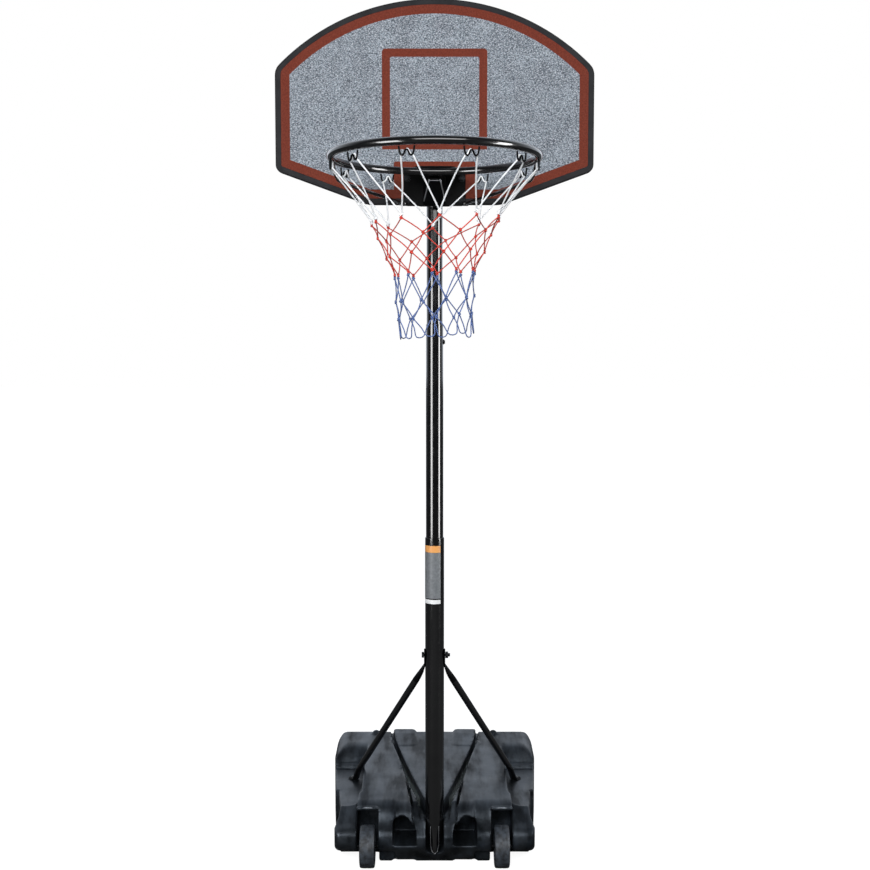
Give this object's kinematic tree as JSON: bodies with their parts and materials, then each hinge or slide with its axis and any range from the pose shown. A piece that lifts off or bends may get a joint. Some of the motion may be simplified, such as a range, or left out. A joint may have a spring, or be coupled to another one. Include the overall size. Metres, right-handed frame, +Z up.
{
  "type": "basketball stand",
  "caption": "Free-standing wheeled basketball stand: ballast tank, telescopic pole on two raking struts, arched backboard, and a ring with a three-colour net.",
  "frame": {"origin": "on the floor under the middle of the stand's bounding box", "axes": "+Z up along the pole, -Y out from the backboard's face over the ring, +X to the right seen from the player's side"},
  "size_m": [0.71, 1.027, 1.991],
  "materials": {
    "tank_plastic": "satin",
    "cap_plastic": "satin",
    "ballast_water": "gloss",
    "wheel_plastic": "matte",
    "board_plastic": "satin",
    "board_print": "satin",
    "black_paint": "gloss",
    "dark_steel": "satin",
    "white_cord": "matte",
    "red_cord": "matte",
    "blue_cord": "matte"
  },
  "bodies": {
    "base": {"base_tank": "tank_plastic", "ballast_water": "ballast_water", "axle_pin_left": "dark_steel", "axle_pin_right": "dark_steel", "pole_lower": "black_paint", "pole_foot": "black_paint", "lock_nut_lower": "dark_steel", "strut_left": "black_paint", "strut_right": "black_paint", "strut_bolt": "dark_steel", "strut_nut": "dark_steel", "strut_foot_screw_left": "dark_steel", "strut_foot_screw_right": "dark_steel"},
    "middle_section": {"pole_middle": "black_paint", "lock_nut_upper": "dark_steel"},
    "upper_section": {"pole_upper": "black_paint", "pole_top_cap": "cap_plastic", "board_bracket_lower": "black_paint", "board_bracket_upper": "black_paint", "u_bolt_lower": "dark_steel", "u_bolt_upper": "dark_steel", "u_nut_lower_left": "dark_steel", "u_nut_lower_right": "dark_steel", "u_nut_upper_left": "dark_steel", "u_nut_upper_right": "dark_steel", "bracket_screw_left": "dark_steel", "bracket_screw_right": "dark_steel", "backboard_panel": "board_plastic", "board_face_sheet": "board_print", "ring_plate": "black_paint", "ring_gusset": "black_paint", "ring": "black_paint", "ring_brace_left": "black_paint", "ring_brace_right": "black_paint", "net_hook_01": "black_paint", "net_hook_02": "black_paint", "net_hook_03": "black_paint", "net_hook_04": "black_paint", "net_hook_05": "black_paint", "net_hook_06": "black_paint", "net_hook_07": "black_paint", "net_hook_08": "black_paint", "net_hook_09": "black_paint", "net_hook_10": "black_paint", "plate_bolt_left_low": "dark_steel", "plate_bolt_left_high": "dark_steel", "plate_bolt_right_low": "dark_steel", "plate_bolt_right_high": "dark_steel", "plate_nut_left_low": "dark_steel", "plate_nut_left_high": "dark_steel", "plate_nut_right_low": "dark_steel", "plate_nut_right_high": "dark_steel", "net_white_cords": "white_cord", "net_red_mesh": "red_cord", "net_blue_mesh": "blue_cord"},
    "wheel_left": {"wheel_left": "wheel_plastic"},
    "wheel_right": {"wheel_right": "wheel_plastic"},
    "filler_cap": {"filler_cap": "tank_plastic"},
    "lower_lock_screw": {"lock_screw_lower": "dark_steel"},
    "upper_lock_screw": {"lock_screw_upper": "dark_steel"}
  },
  "joints": [
    {"name": "middle_slide", "type": "slide", "parent": "base", "child": "middle_section", "axis": [0, 0, 1], "range_m": [-0.1, 0]},
    {"name": "upper_slide", "type": "slide", "parent": "middle_section", "child": "upper_section", "axis": [0, 0, 1], "range_m": [-0.25, 0.05]},
    {"name": "wheel_left_spin", "type": "hinge", "parent": "base", "child": "wheel_left", "pos_m": [-0.158, 0.0255, 0.049], "axis": [1, 0, 0], "continuous": true},
    {"name": "wheel_right_spin", "type": "hinge", "parent": "base", "child": "wheel_right", "pos_m": [0.158, 0.0255, 0.049], "axis": [1, 0, 0], "continuous": true},
    {"name": "filler_cap_turn", "type": "hinge", "parent": "base", "child": "filler_cap", "pos_m": [0, 0.5025, 0.095], "axis": [0, 1, 0], "range_deg": [0, 540]},
    {"name": "lower_lock_turn", "type": "hinge", "parent": "base", "child": "lower_lock_screw", "pos_m": [0, 0.069, 0.745], "axis": [0, 1, 0], "range_deg": [0, 360]},
    {"name": "upper_lock_turn", "type": "hinge", "parent": "middle_section", "child": "upper_lock_screw", "pos_m": [0.02, 0.0475, 1.2343], "axis": [1, 0, 0], "range_deg": [0, 360]}
  ]
}
